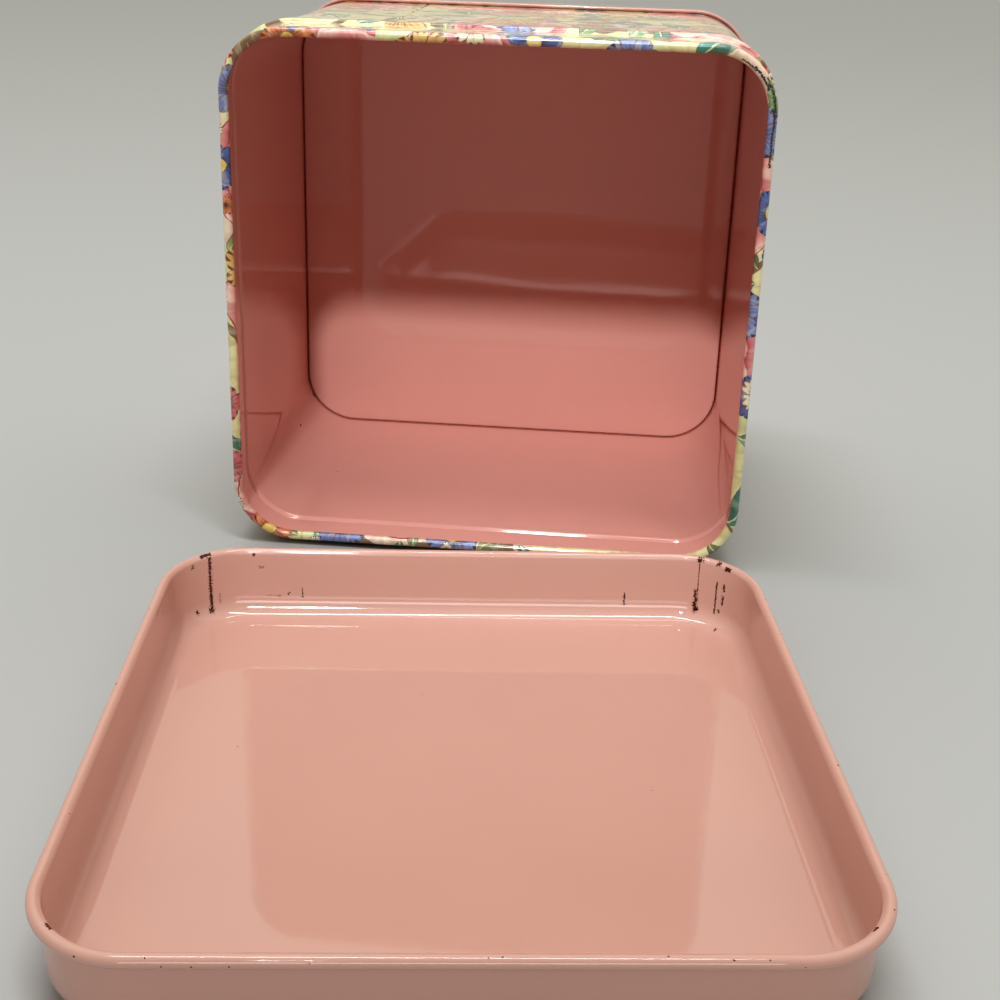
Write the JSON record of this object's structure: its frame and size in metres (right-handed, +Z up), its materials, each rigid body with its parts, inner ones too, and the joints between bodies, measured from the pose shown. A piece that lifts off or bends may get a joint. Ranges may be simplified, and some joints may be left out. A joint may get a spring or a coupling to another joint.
{
  "type": "square tin box",
  "caption": "Open square tin for papers and keepsakes, lying on its side: seamed tinplate wall with rolled mouth, double-seamed bottom, slip-on lid upside down in front.",
  "frame": {"origin": "on the surface that the box and the lid lie on, under the middle of the whole arrangement", "axes": "+Z up; the box's mouth faces -Y, where the lid lies upside down, and its bottom is at +Y; +X to the right as one looks into the mouth"},
  "size_m": [0.151, 0.2724, 0.1367],
  "materials": {
    "printed_tinplate": "gloss varnish over a floral print outside, gloss pink enamel inside",
    "bottom_enamel": "gloss pink enamel",
    "lid_enamel": "gloss pink enamel"
  },
  "bodies": {
    "box": {"box_wall": "printed_tinplate", "box_bottom": "bottom_enamel"},
    "lid": {"lid": "lid_enamel"}
  },
  "joints": [
    {"name": "lid_lift", "type": "slide", "parent": "box", "child": "lid", "axis": [0, 0, 1], "range_m": [0, 0.14]}
  ]
}
